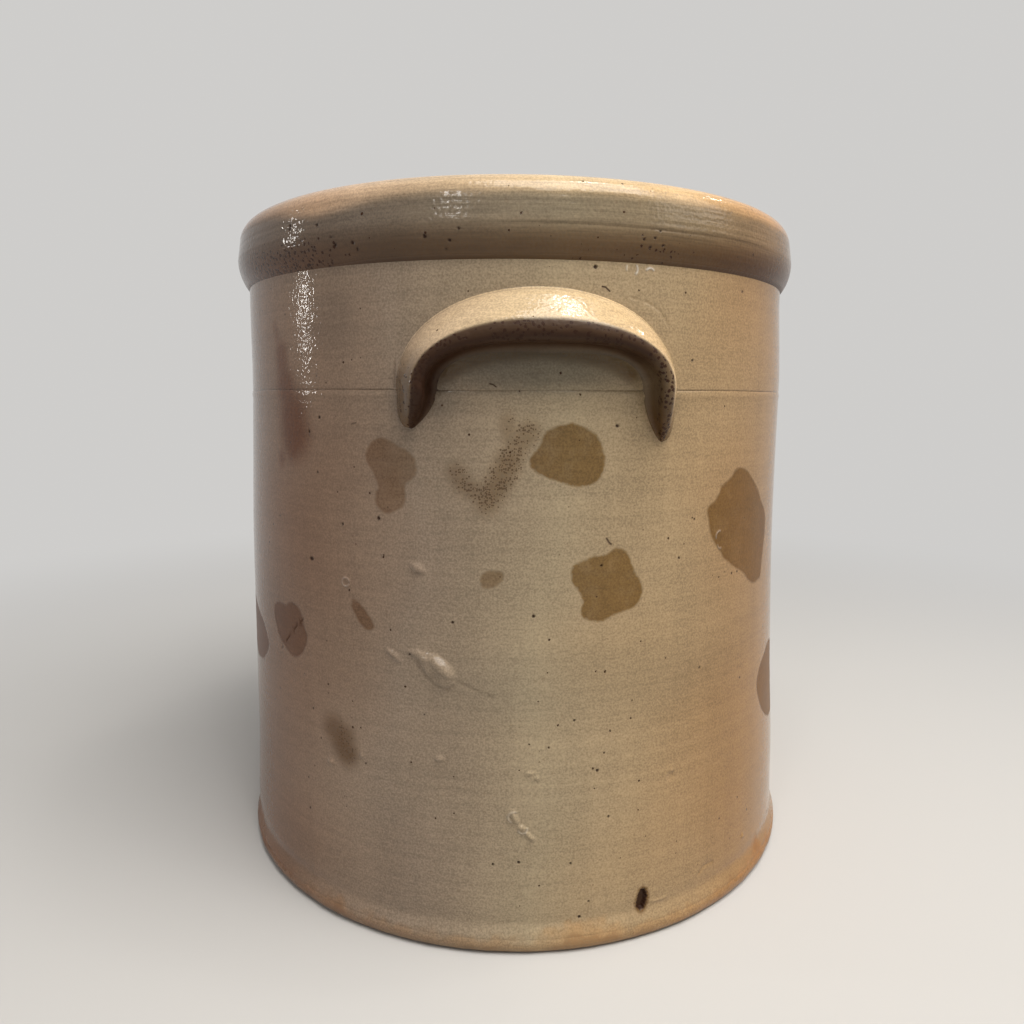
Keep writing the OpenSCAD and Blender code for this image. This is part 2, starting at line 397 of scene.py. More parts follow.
cove_mid_r = wall_r(floor_z + cove_r) - wall_thick - cove_r
rest_r = foot_r - 2.6
outline = line((0, 0), (rest_r, 0), 10)
outline += [(rest_r, 0), (rest_r + 1.5, 0.2), (rest_r + 2.8, 0.8), (rest_r + 3.7, 1.7), (rest_r + 4.2, 2.8)]
outline += [(rest_r + 4.5, 4.0), (rest_r + 4.5, 5.2), (rest_r + 4.3, 6.3)]
outline += line((foot_r + foot_flare, edge_z), (cove_mid_r, edge_z), 9)
outline += [(cove_mid_r, edge_z), (cove_mid_r, floor_z)]
outline += line((cove_mid_r - 8, floor_z), (0, floor_z), 12)
outline += [(0, floor_z)]
bm = turned(outline)
pitted_layer = bm.verts.layers.float.new("pitted")
for v in bm.verts:
    r, z = place_of(v)[:2]
    v[pitted_layer] = 0.15
    if r > rest_r + 0.5 and z < edge_z - 0.5:
        dent = noise.noise(v.co * 55) + 0.6 * noise.noise(v.co * 160)
        share = hump(z, 2.8, 2.4)
        push(v, 0.45 * dent * share, r)
        v.co.z += 0.3 * mm * share * dent
thrown(bm)
for f in bm.faces:
    if f.calc_center_median().z < 0.1 * mm:
        f.material_index = 1
piece(bm, "foot_slab", "base_slab", "salt_glaze", salt_glaze, bare_clay)

# Thrown wall
# The main wall was thrown in one pull from the slab to the scored line, ten millimetres thick.
# It carries the kiln's marks: dry patches, stains, a flake of clay that stuck, blisters and chips.
girth = 146.0
half_round = math.pi * girth
groove_depth = 0.28


def spot_share(along, z, spot, far=1.5):
    """0 at the middle of an oval spot and 1 at its edge. A spot is along, z, half sizes and tilt."""
    reach = far * max(spot[2], spot[3])
    if abs(z - spot[1]) > reach:
        return far
    dx = (along - spot[0] + half_round) % (2 * half_round) - half_round
    if abs(dx) > reach:
        return far
    dz = z - spot[1]
    lean = math.radians(spot[4])
    u = dx * math.cos(lean) + dz * math.sin(lean)
    w = dz * math.cos(lean) - dx * math.sin(lean)
    return math.hypot(u / spot[2], w / spot[3])


def off_line(along, z, points):
    """Distance from a line of points on the wall."""
    nearest = 1e9
    for (ax, az), (bx, bz) in zip(points, points[1:]):
        length = (bx - ax) ** 2 + (bz - az) ** 2
        t = min(1.0, max(0.0, ((along - ax) * (bx - ax) + (z - az) * (bz - az)) / length))
        nearest = min(nearest, math.hypot(along - ax - t * (bx - ax), z - az - t * (bz - az)))
    return nearest


def depth_in(along, z, outline):
    """How deep a point of the wall lies inside an outline, in mm, and below 0 outside it."""
    within = False
    loop = outline + outline[:1]
    for (ax, az), (bx, bz) in zip(loop, loop[1:]):
        if (az > z) != (bz > z) and along < ax + (z - az) * (bx - ax) / (bz - az):
            within = not within
    away = off_line(along, z, loop)
    return away if within else -away


def rounded(outline):
    """Takes the corners off an outline, twice."""
    for again in range(2):
        loop = outline + outline[:1]
        outline = []
        for (ax, az), (bx, bz) in zip(loop, loop[1:]):
            outline += [(a * ax + b * bx, a * az + b * bz) for a, b in ((0.8, 0.2), (0.2, 0.8))]
    return outline


def blot(along, z, wide, tall, tilt):
    """The outline of a rounded, uneven patch."""
    lean = math.radians(tilt)
    points = []
    for i in range(14):
        angle = math.tau * i / 14
        ray = Vector((math.cos(angle), math.sin(angle), along))
        swell = 1 + 0.7 * noise.noise(ray) + 0.6 * noise.noise(2.2 * ray)
        u = wide * swell * math.cos(angle)
        w = tall * swell * math.sin(angle)
        beside = along + u * math.cos(lean) - w * math.sin(lean)
        points.append((beside, z + u * math.sin(lean) + w * math.cos(lean)))
    return points


# Dry patches: how strong each is, and its outline as arc from the middle of the front and height.
# Those made by blot are guesses, on the sides that can't be seen
patches = [
    (1.0, [(-4, 213), (-2.5, 215.5), (0, 218.5), (1, 222), (3.5, 225), (8, 226.5), (13.5, 227),
           (19.5, 225.5), (23.5, 222), (26, 217), (26.5, 211.5), (25, 206.5), (21, 203.5), (16.5, 202.5),
           (11, 203.5), (6.5, 205), (-1, 208), (-3.5, 210.5)]),
    (1.0, [(102, 206), (108, 205), (113.5, 202.5), (119, 198.5), (126, 193), (131, 186.5), (137, 182.5),
           (139.5, 176.5), (138, 170), (134, 155.5), (133, 150.5), (126.5, 149.5), (121, 149), (116.5, 152),
           (111, 156), (99, 162), (89.5, 169.5), (83, 177.5), (81.5, 186), (80, 189.5), (86, 192.5),
           (88.5, 195), (89.5, 198.5), (99, 202.5), (100, 205)]),
    (1.0, [(13.5, 167), (15, 170.5), (19.5, 172), (25, 172.5), (29, 173.5), (31.5, 176), (34, 176.5),
           (37.5, 173.5), (38.5, 169.5), (42, 163.5), (44, 160), (44, 155), (41.5, 151.5), (37.5, 149.5),
           (33, 149), (30.5, 148.5), (28, 146.5), (24.5, 146), (20.5, 146.5), (18, 148), (17.5, 151),
           (19, 153.5), (18, 157), (13.5, 163.5)]),
    (0.7, [(-74, 215), (-72, 218.5), (-68.5, 220.5), (-64, 220.5), (-60, 218.5), (-55.5, 216),
           (-51.5, 212.5), (-50.5, 209), (-52.5, 205), (-57.5, 202), (-56.5, 200), (-56, 196.5),
           (-57, 193), (-61, 191), (-65, 190.5), (-68.5, 192.5), (-70, 195.5), (-69.5, 199), (-68, 201),
           (-70.5, 206.5), (-74.5, 212)]),
    (1.0, [(-141.5, 139), (-134, 141.5), (-129.5, 140.5), (-125.5, 143.5), (-120.5, 142.5), (-116.5, 140.5),
           (-114.5, 137.5), (-114, 133.5), (-111.5, 130), (-112.5, 125), (-116.5, 120.5), (-122.5, 117.5),
           (-128, 118.5), (-131, 121), (-135, 123), (-139.5, 127.5), (-142, 133)]),
    (1.0, [(-196, 136), (-182, 133), (-174, 129.5), (-163, 126.5), (-155.5, 121.5), (-152, 116.5),
           (-154.5, 111), (-162.5, 105.5), (-178, 103), (-192, 110), (-201, 122)]),
    (1.0, [(149.5, 110), (136, 105), (131, 100.5), (128.5, 95), (132, 87), (139, 78), (152, 71), (168, 69),
           (181, 76), (186, 90), (176, 104), (163, 110)]),
    (0.8, [(-83, 151), (-80, 151), (-76.5, 147.5), (-73, 143.5), (-71.5, 140.5), (-74, 139.5), (-78, 142),
           (-81, 146), (-83.5, 149)]),
    (0.65, [(-24, 163.5), (-22.5, 166.5), (-19, 167.5), (-15.5, 167.5), (-15, 165), (-16.5, 163),
           (-20.5, 161), (-23, 161)]),
    (0.9, blot(214, 134, 14, 11, 10)), (1.0, blot(268, 203, 20, 14, -25)),
    (0.7, blot(290, 88, 6, 9, 20)), (1.0, blot(331, 118, 13, 17, 0)),
    (0.8, blot(392, 182, 17, 12, 30)), (0.9, blot(428, 66, 11, 8, 0)),
    (0.9, blot(-228, 190, 15, 11, 15)), (1.0, blot(-296, 144, 20, 14, 25)),
    (0.8, blot(-352, 214, 11, 9, 0)), (1.0, blot(-376, 78, 15, 12, -15)),
    (0.7, blot(-425, 152, 9, 12, 0)), (0.8, blot(-250, 64, 8, 6, 30)),
]
patches = [(tone, rounded(outline)) for tone, outline in patches]
# Stains along a line: points, half width, how brown, and how much fine soot. The first is no stain
# but a painted shadow on the wall under the front handle's arch
stain_and_shade_lines = [
    ([(-38, 247), (-30, 251.5), (-18, 254.5), (0, 256), (18, 254.5), (30, 251.5), (38, 247)],
     3.6, 0.8, 0.0),
    ([(-34.2, 208), (-30.9, 202.7), (-24.9, 199.5), (-21.5, 196.5)], 4.2, 0.55, 0.6),
    ([(-21.5, 196.5), (-17, 203.5), (-12.4, 212.4)], 5.5, 0.65, 0.9),
    ([(-12.4, 212.4), (-8.7, 219.6), (-4.5, 223.9)], 4.8, 0.5, 0.75),
    ([(-13.1, 228), (-11.5, 221)], 3.6, 0.4, 0.5),
    ([(-94, 90.5), (-88.5, 88)], 6.5, 0.7, 0.5), ([(-90, 86), (-87, 81.5)], 6.5, 0.8, 0.5),
    ([(238, 246), (241, 228)], 7.0, 0.5, 0.0), ([(300, 155), (309, 147), (314, 149)], 5.0, 0.3, 0.8),
    ([(-326, 116), (-331, 104)], 8.0, 0.7, 0.4), ([(412, 218), (424, 212)], 6.0, 0.5, 0.2),
]
# Rust brown stains on the left: points, half width and strength
rust_stains = [
    ([(-136.1, 268.6), (-131.6, 257.8)], 3.0, 0.45), ([(-130.6, 256.4), (-128.5, 243.0)], 6.0, 0.8),
    ([(-127.6, 243.0), (-123.5, 234.1)], 8.5, 0.9), ([(-121.0, 228.9), (-119.5, 221.3)], 12.5, 1.0),
    ([(-120.4, 218.6), (-120.4, 215.9)], 7.5, 0.95), ([(-130.7, 210.9), (-130.8, 208.6)], 3.6, 0.65),
]
# Grey spots: painted shade under the front handle and round its legs, a grey spot high on the left,
# and a greyer band across the front at mid height: along, height, half sizes, tilt, strength
ash_and_shade_spots = [
    (0, 250, 44, 13, 0, 0.9), (-55, 236, 9, 13, 0, 0.5), (55, 236, 8, 13, 0, 0.6),
    (-40, 240, 12, 14, 0, 0.4), (-93, 268, 20, 14, 0, 0.3), (15, 118, 85, 19, 0, 0.32),
]
# Raised or sunk spots: along, height, half sizes, tilt, rise in mm and the share that is flat on top
lumps = [
    (-42.5, 125, 10.5, 5.6, -42, 1.4, 0.55), (-40.4, 126.6, 7.0, 3.0, -42, 1.5, 0.35),
    (-43.5, 122, 3.6, 2.0, -42, -0.7, 0.1), (-50.5, 130.8, 6.5, 2.6, -22, 1.0, 0.2),
    (-62, 129.8, 5.5, 1.8, -34, 1.0, 0.2), (-50.5, 167.9, 4.6, 2.2, -24, 1.3, 0.2),
    (-10.2, 61.8, 3.4, 1.6, -62, 1.1, 0.2), (-7.2, 57.4, 2.6, 1.7, -20, 1.0, 0.2),
    (-3.8, 53.6, 3.2, 1.3, -42, 1.2, 0.2), (-42, 86.5, 2.6, 1.8, 0, 1.0, 0.2),
    (-4, 81.6, 2.4, 1.2, 10, 0.9, 0.2), (-1, 79.4, 1.3, 0.9, 0, 0.8, 0.2),
    (60, 71.6, 2.6, 2.4, 0, -0.6, 0.2), (60, 74.6, 1.8, 1.1, 0, 0.5, 0.2),
    (-96.5, 74.5, 2.2, 1.8, 0, 0.9, 0.2), (-78.5, 82, 1.2, 1.9, 10, 0.8, 0.2),
    (112, 24, 2.0, 1.6, 0, 0.6, 0.2), (230, 160, 6, 2.6, -30, 1.3, 0.2),
    (-260, 100, 5, 3, 20, 1.1, 0.2), (-400, 190, 4, 2.5, 0, 0.9, 0.2),
]
# Scratches and hairs: points, half width, depth in mm and how dark the dirt in them is
scratches = [
    ([(-35.5, 121.5), (-33.4, 120.2), (-26.6, 117.2), (-19.6, 114.6)], 0.7, 0.35, 0.12),
    ([(-114.2, 137.5), (-120.9, 132.1), (-127.6, 125.7), (-134.7, 118.8)], 0.45, 0.2, 0.7),
    ([(76.9, 19.6), (79.2, 21.6), (82.6, 22.4), (86, 22)], 0.7, 0.45, 0.15),
    ([(-51, 128), (-47.5, 122.6), (-43, 118.6), (-38, 117.2), (-35.2, 119.4)], 0.7, 0.28, 0.18),
    ([(51, 15.2), (58, 15)], 0.9, -0.4, 0.0), ([(-60.2, 252), (-60.6, 241.5)], 0.5, 0.25, 0.3),
    ([(38, 277), (46, 275.2), (51.4, 272.4), (55.6, 266.9)], 0.6, 0.25, 0.0),
]
hairs = [
    ([(25, 280.9), (26.4, 280.7), (28.2, 279.2)], 0.32, 1.0),
    ([(-20.2, 243), (-19, 242.8), (-17.8, 241.9)], 0.3, 0.9),
    ([(-63.2, 245.1), (-61.6, 245)], 0.35, 0.4), ([(28, 180.5), (29, 178.9), (30, 178)], 0.4, 0.9),
    ([(-82, 226.4), (-79.5, 227)], 0.3, 0.7), ([(-108, 224.5), (-107.4, 220.5)], 0.3, 0.6),
]
# Blisters that burst and left part of a ring: along, height, radius, arc from and to, and whiteness.
# The ring's white is partly flaked glaze and partly a painted glint
burst = [
    (37.9, 288.2, 2.5, 305, 395, 0.55), (37.9, 288.2, 2.5, 150, 200, 0.35),
    (46.3, 286.8, 2.1, 35, 150, 0.6), (89.0, 176.3, 2.4, 70, 200, 0.2), (89.6, 172.6, 1.8, 180, 300, 0.15),
    (-10.6, 62.2, 2.4, 60, 250, 0.15), (-7.0, 57.0, 1.9, 200, 380, 0.2), (-86, 158.8, 1.9, 0, 350, 0.1),
]
# Iron spots that melted out and left the largest pits: along, height and radius
pocks = [
    (-107.3, 166.5, 1.3), (-68.6, 187.7, 0.95), (-2.6, 149, 0.8), (17, 15.1, 0.85), (24.6, 80.8, 0.75),
    (-35.9, 145.9, 0.7), (14.6, 103.8, 0.65), (13.1, 40.3, 0.6), (-8.6, 41.9, 0.65), (-87.5, 183.8, 0.7),
    (29.6, 59.5, 0.6), (-102.4, 205.2, 0.65), (76.8, 118.1, 0.65), (20.9, 21.8, 0.6), (-54.6, 130.9, 0.55),
    (68.8, 253.3, 0.6), (-19.4, 40.8, 0.6), (-76.7, 78.4, 0.55), (32.2, 226.5, 0.8), (25.9, 169.3, 0.7),
    (22.1, 288.2, 0.95), (-101.0, 228.8, 0.8), (-107.9, 222.6, 0.75), (205, 178, 0.9), (246, 92, 0.7),
    (318, 204, 0.8), (-268, 222, 0.8), (-312, 96, 0.9), (-188, 168, 0.7), (402, 120, 0.8),
]
chip = [
    (45.8, 22.9), (47.6, 21.7), (48.3, 18.5), (47.9, 15.2), (46.5, 12.6), (44.7, 12), (43.2, 13.9),
    (42.7, 16.6), (43.6, 19.8), (44.5, 22.2),
]
wall_marks = ("toast", "tone", "smoke_and_shade", "soot", "rust", "ash_and_shade", "scar_and_shade", "flake_and_glint")


def pock_depth(along, z, pocks):
    """1 in the pits of a list, with torn edges, and 0 on the skin between them."""
    deepest = 0.0
    for mid, level, radius in pocks:
        if abs(z - level) < 2 and abs(along - mid) < 2:
            torn = 0.88 * radius * (1 + 0.4 * noise.noise(Vector((1.5 * along, 1.5 * z, mid))))
            deepest = max(deepest, ease(-math.hypot(along - mid, z - level), -1.2 * torn, -0.7 * torn))
    return deepest


def marks_on(along, z):
    """Height in mm of what sits on the smooth wall, and its patches, stains and dirt."""
    turn = along / girth
    ground = Vector((math.sin(turn), math.cos(turn), z / girth))
    rise = 0.28 * noise.noise(ground * 2.3)
    rise += 0.07 * noise.noise(Vector((0.9 * ground.x, 0.9 * ground.y, z / 4.5)))
    strength = 0.55 + 0.45 * noise.noise(Vector((3 * ground.x, 3 * ground.y, 0.5)))
    rise += 0.35 * strength * hump(z, seam_z - 2.2, 1.3)
    rise *= ease(z, edge_z, edge_z + 8) * ease(neck_z - z, 0, 5)
    found = dict.fromkeys(wall_marks, 0.0)
    for tone, outline in patches:
        if abs(along - outline[0][0]) < 70 and abs(z - outline[0][1]) < 70:
            depth = depth_in(along, z, outline)
            if depth > -8:
                found["toast"] = max(found["toast"], min(1.0, 0.53 + depth / 16))
                found["tone"] = tone
    for points, half, brown_and_shade, fine in stain_and_shade_lines:
        if abs(along - points[0][0]) < 90 and abs(z - points[0][1]) < 45:
            share = ease(-off_line(along, z, points), -1.6 * half, -0.3 * half)
            found["smoke_and_shade"] = max(found["smoke_and_shade"], brown_and_shade * share)
            found["soot"] = max(found["soot"], fine * share)
    for points, half, strong in rust_stains:
        if abs(along - points[0][0]) < 60 and abs(z - points[0][1]) < 60:
            share = ease(-off_line(along, z, points), -1.5 * half, -0.3 * half)
            found["rust"] = max(found["rust"], strong * share)
    for spot in ash_and_shade_spots:
        found["ash_and_shade"] = max(found["ash_and_shade"], spot[5] * ease(-spot_share(along, z, spot), -1.3, -0.3))
    for spot in lumps:
        share = spot_share(along, z, spot)
        if share < 1.3:
            rise += spot[5] * ease(-share, -1.12, -spot[6])
    for points, half, depth, dirt in scratches:
        if abs(z - points[0][1]) < 26 and abs(along - points[0][0]) < 30:
            away = off_line(along, z, points)
            if away < 4 * half:
                rise -= depth * hump(away, 0, half)
                found["scar_and_shade"] = max(found["scar_and_shade"], dirt * hump(away, 0, half))
    for points, half, dirt in hairs:
        if abs(z - points[0][1]) < 8 and abs(along - points[0][0]) < 8:
            away = off_line(along, z, points)
            found["scar_and_shade"] = max(found["scar_and_shade"], dirt * ease(-away, -1.5 * half, -0.5 * half))
    for mid, level, radius, start, end, glint_white in burst:
        away = math.hypot(along - mid, z - level)
        if away < 2 * radius:
            angle = math.degrees(math.atan2(z - level, along - mid))
            off = abs((angle - (start + end) / 2 + 180) % 360 - 180)
            whole = ease(-off, -(end - start) / 2 - 12, -(end - start) / 2 + 12)
            ring = whole * hump(away, radius, 0.4)
            rise += 0.5 * ring
            found["flake_and_glint"] = max(found["flake_and_glint"], glint_white * ring)
    pit = pock_depth(along, z, pocks)
    rise -= 0.5 * pit
    found["scar_and_shade"] = max(found["scar_and_shade"], 0.95 * pit)
    if abs(along - chip[0][0]) < 12 and abs(z - chip[0][1]) < 20:
        depth = depth_in(along, z, chip) + 0.5 * noise.noise(Vector((along, z, 0.3)))
        rise -= 2.0 * ease(depth, -0.3, 1.2)
        found["scar_and_shade"] = max(found["scar_and_shade"], ease(depth, -0.25, 0.35) * (1 - 0.12 * ease(depth, 0.8, 1.8)))
        found["smoke_and_shade"] = max(found["smoke_and_shade"], ease(depth, -1.8, 0))
    found["scar_and_shade"] = max(found["scar_and_shade"], 0.2 * strength * hump(z, seam_z, 0.6))
    return rise, found


outside_within = 1.5


def refine(bm, places, cuts):
    """Cuts the outside of the wall finer round some places, given as along, height and radius."""
    near = set()
    for v in bm.verts:
        r, z, turn = place_of(v)
        levels = [p for p in places if abs(z - p[1]) < p[2]]
        if levels and r > wall_r(z) - outside_within:
            if any(abs(turn * girth - p[0]) < p[2] for p in levels):
                near.add(v)
    close = [e for e in bm.edges if e.verts[0] in near and e.verts[1] in near]
    bmesh.ops.subdivide_edges(bm, edges=close, cuts=cuts, use_grid_fill=True)


def new_marks(bm, *names):
    """Attributes on a mesh's points, for the glaze to read."""
    return {name: bm.verts.layers.float.new(name) for name in names}


def weathered(bm):
    """Refines the mesh round the small marks, then presses all marks into the outside of a ring of wall."""
    small = [(s[0], s[1], 1.3 * max(s[2], s[3]) + 1) for s in lumps]
    small += [(p[0], p[1], 3.2) for points, *rest in scratches for p in points]
    fine = [(p[0], p[1], 1.6) for points, *rest in hairs for p in points]
    fine += [(s[0], s[1], s[2] + 1.2) for s in burst + pocks] + [(p[0], p[1], 1.8) for p in chip]
    refine(bm, small + [(p[0], p[1], p[2] + 2) for p in fine], 3)
    refine(bm, fine, 1)
    layers = new_marks(bm, *wall_marks)
    for v in bm.verts:
        r, z, turn = place_of(v)
        if r > wall_r(z) - outside_within:
            rise, found = marks_on(turn * girth, z)
            push(v, rise, r)
            for name, value in found.items():
                v[layers[name]] = value
            wander = 0.5 * noise.noise(Vector((v.co.x * 14, v.co.y * 14, 3)))
            v.co.z += wander * mm * hump(z, seam_z, 6)


joint_out = (wall_r(seam_z) - groove_depth, seam_z)
joint_in = (wall_r(seam_z + 4) - wall_thick, seam_z + 4)
outline = line((cove_mid_r, edge_z), (foot_r + foot_flare, edge_z), 9)
outline += [(wall_r(z) + foot_flare * hump(z, edge_z, 3.4) - 0.35 * hump(z, edge_z + 6.5, 3), z)
            for z in (edge_z + 0.7 * i for i in range(20))]
outline += line((wall_r(edge_z + 14), edge_z + 14), (wall_r(seam_z - 6), seam_z - 6), 2.6)
outline += line((wall_r(seam_z - 6), seam_z - 6), (wall_r(seam_z - 0.5), seam_z - 0.5), 0.5)
outline += line((wall_r(seam_z - 0.5), seam_z - 0.5), joint_out, 0.35)
outline += line(joint_out, joint_in, 5)
outline += line(joint_in, (wall_r(floor_z + cove_r) - wall_thick, floor_z + cove_r), 20)
outline += arc((cove_mid_r, floor_z + cove_r), cove_r, 0, -90, 3)
bm = turned(outline)
weathered(bm)
thrown(bm)
piece(bm, "thrown_wall", "lower_wall", "salt_glaze", salt_glaze)

# Shoulder ring
# Above the scored line a second ring of wall rises to the neck, joined on wet along a sloping seam.
# Its top ends in a tongue that the rim's collar is luted over.
tongue_h = 8.0
tongue_thick = 4.0
tongue_in = wall_r(neck_z + tongue_h) - wall_thick
tongue_out = wall_r(neck_z) - wall_thick + tongue_thick
outline = line(joint_out, (wall_r(seam_z + 0.4), seam_z + 0.4), 0.3)
outline += line((wall_r(seam_z + 0.4), seam_z + 0.4), (wall_r(seam_z + 5), seam_z + 5), 0.5)
outline += line((wall_r(seam_z + 5), seam_z + 5), (wall_r(neck_z), neck_z), 1.5)
outline += line((wall_r(neck_z), neck_z), (tongue_out, neck_z), 3)
outline += [(tongue_out, neck_z), (tongue_out, neck_z + tongue_h), (tongue_in, neck_z + tongue_h)]
outline += line((wall_r(neck_z) - wall_thick, neck_z), joint_in, 6)
outline += line(joint_in, joint_out, 5)
bm = turned(outline)
weathered(bm)
thrown(bm)
piece(bm, "shoulder_ring", "upper_wall", "salt_glaze", salt_glaze)

# Rolled rim
# A thick collar was rolled over the neck and rounded with a wet leather, which left fine lines round it.
# Iron bled out along its lower edge, darkest and most pitted on the left.
# Its crease to the neck and its lower face are painted darker as shade under the roll,
# and its rounded top is painted paler as light from above.
rim_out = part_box("rim_collar")[1].x / mm
mouth_r = wall_r(neck_z) - wall_thick - 2
under_r = 22.0
shoulder_r = 10.5
lean_back = 8.0
mouth_edge_r = 3.0
crease_line_z = 303.0
overhang = rim_out - wall_r(neck_z)
under_rise = math.sqrt(2 * under_r * overhang - overhang ** 2)
under_from = -math.degrees(math.asin(under_rise / under_r))
crease_z = neck_z + under_rise
slope = math.radians(lean_back)
facet_top = top_z - shoulder_r * (1 - math.sin(slope))
facet_r = rim_out - (facet_top - crease_z) * math.tan(slope)
shoulder_mid = (facet_r - shoulder_r * math.cos(slope), top_z - shoulder_r)
edge_mid = (mouth_r + mouth_edge_r, top_z - mouth_edge_r)
outline = arc((rim_out - under_r, crease_z), under_r, under_from, 0, 0.5)
outline += line((rim_out, crease_z), (facet_r, facet_top), 0.5)[1:]
outline += arc(shoulder_mid, shoulder_r, lean_back, 90, 0.5)
outline += arc(edge_mid, mouth_edge_r, 90, 180, 0.6)
outline += line((mouth_r, top_z - mouth_edge_r), (mouth_r, neck_z + tongue_h), 1.5)[1:]
outline += [(mouth_r, neck_z + tongue_h), (tongue_out, neck_z + tongue_h), (tongue_out, neck_z)]
bm = turned(outline)
rim_pocks = [
    (-112.5, 308.4, 0.9), (-112.3, 306.9, 0.7), (-76.9, 298.3, 0.95), (-75.2, 295.7, 0.8),
    (-45, 298.8, 0.9), (-85.7, 298, 0.8), (-35.3, 297.1, 0.8), (-31.5, 301.1, 0.7), (-94.9, 306.5, 0.7),
    (-36.9, 294.1, 0.6), (49.8, 297.4, 0.7), (40.9, 299, 0.65), (44.1, 296.3, 0.65), (47.8, 302.4, 0.55),
    (45.7, 299.7, 0.55), (-87.5, 301.1, 0.65), (190, 299, 0.9), (236, 303, 0.7), (-262, 297, 0.9),
    (-330, 302, 0.8), (412, 298, 0.8),
]
refine(bm, [(s[0], s[1], 2.6) for s in rim_pocks], 3)
rim_layers = new_marks(bm, "smoke_and_shade", "rust", "ash_and_shade", "pitted", "scar_and_shade", "combed", "top_light")
for v in bm.verts:
    r, z, turn = place_of(v)
    along = turn * girth
    if r > tongue_out + 1:
        ground = Vector((v.co.x, v.co.y, 0)) / r / mm
        low = ease(-z, -neck_z - 17, -neck_z - 3)
        face = ease(r, rim_out - 6, rim_out - 1)
        lined = 0.10 * noise.noise(ground * 0.8 + Vector((0, 0, z / 1.6)))
        lined += 0.22 * noise.noise(ground * 1.5 + Vector((0, 0, z / 9)))
        crease = hump(z, crease_line_z + 0.5 * noise.noise(ground * 3), 0.5)
        crease *= ease(along, -25, 15) * ease(-along, -130, -70)
        lined -= 0.3 * crease
        lined *= ease(z, neck_z, neck_z + 3)
        out = Vector((v.co.x, v.co.y, 0)).normalized() * face
        v.co += (out + Vector((0, 0, 1 - face)) * ease(r, mouth_r + 2, mouth_r + 6)) * lined * mm
        left = ease(-along, 60, 110) * ease(along, -230, -150)
        near = ease(half_round - abs(along), 40, 200)
        right = hump(along, 48, 16)
        pit = pock_depth(along, z, rim_pocks) * face
        v.co -= out * 0.45 * pit * mm
        blotch = 0.5 + 0.5 * noise.noise(ground * 4 + Vector((0, 0, z / 25)))
        # The uneven edge of the painted top light, lower at the left front
        lit_top_edge = z + 0.6 * noise.noise(ground * 9) + 4.5 * ease(-along, 50, 100) * ease(along, -135, -90)
        # Brown in blotches on the face; more brown on the lower face, partly stain and partly painted shade
        # under the roll
        brown_and_shade = face * (0.12 + 0.16 * blotch)
        brown_and_shade += (0.55 + 0.25 * near * ease(along, 20, 90) - 0.3 * left) * low
        # Painted shade: darker in the crease under the rim, along the middle crease and on the lower face,
        # less on the left
        crease_and_under_shade = 0.3 * ease(-z, -neck_z - 2.5, -neck_z) + 0.15 * crease + low * (0.3 - 0.28 * left)
        lines_here = 0.45 + 0.55 * near * ease(along, -100, 0)
        # Painted light: the share of paler top, most at the left front
        top_light_here = 0.48 + 0.45 * ease(-along, 40, 90) * ease(along, -150, -90)
        v[rim_layers["smoke_and_shade"]] = min(1.0, brown_and_shade)
        v[rim_layers["rust"]] = low * (0.28 + 0.45 * left)
        v[rim_layers["ash_and_shade"]] = 0.75 * face * (1 - 0.7 * low) * ease(-lit_top_edge, -317.0, -312.0)
        v[rim_layers["pitted"]] = min(1.0, low * (0.2 * blotch + 0.8 * left + 0.35 * right)) + 0.1 * face
        v[rim_layers["scar_and_shade"]] = max(0.95 * pit, crease_and_under_shade)
        v[rim_layers["combed"]] = ease(z, neck_z + 4, neck_z + 10) * lines_here
        v[rim_layers["top_light"]] = ease(lit_top_edge, 311.5, 317.5) * top_light_here
thrown(bm)
piece(bm, "rolled_rim", "rim_collar", "salt_glaze", salt_glaze)

# Lug handles
# Each handle is a strap of clay pulled flat, bent into an arch and pressed onto the wall while wet.
# Its top was wiped smooth, its lip turned down for the fingers, and its two legs smeared onto the wall.
spring_z = 241.5
arch_half = 49.0
arch_rise = 28.0
arch_share = 0.74
squareness = 0.96
# Outlines round the strap as reach from the wall and offset to the outside of the arch
at_crown = [
    (-0.9, 10.2), (0.6, 10.0), (3.0, 9.6), (5.4, 8.3), (8.0, 5.6), (10.6, 2.7), (12.9, 0.1),
    (14.6, -2.1), (15.5, -4.5), (15.7, -6.9), (15.0, -9.2), (13.4, -10.7), (10.6, -11.0), (7.4, -10.5),
    (4.6, -10.6), (2.5, -11.4), (1.0, -12.7), (0.1, -14.0), (-0.9, -15.4),
]
at_left = [
    (-0.9, 10.4), (0.2, 9.8), (1.9, 8.8), (4.8, 6.6), (7.8, 4.2), (10.4, 1.9), (12.2, 0.0),
    (13.3, -1.5), (13.8, -3.0), (13.6, -4.4), (12.7, -5.5), (11.0, -6.0), (8.6, -5.8), (6.0, -5.3),
    (3.8, -5.3), (2.1, -5.8), (0.9, -6.6), (0.1, -7.5), (-0.9, -8.4),
]
at_right = [
    (-0.9, 10.4), (0.2, 9.8), (1.9, 8.9), (4.8, 7.0), (7.8, 5.0), (10.4, 3.2), (12.4, 1.6),
    (13.7, 0.2), (14.3, -1.2), (14.1, -2.6), (13.1, -3.6), (11.2, -4.0), (8.8, -3.8), (6.2, -3.4),
    (4.0, -3.3), (2.2, -3.7), (1.0, -4.4), (0.2, -5.2), (-0.9, -6.0),
]
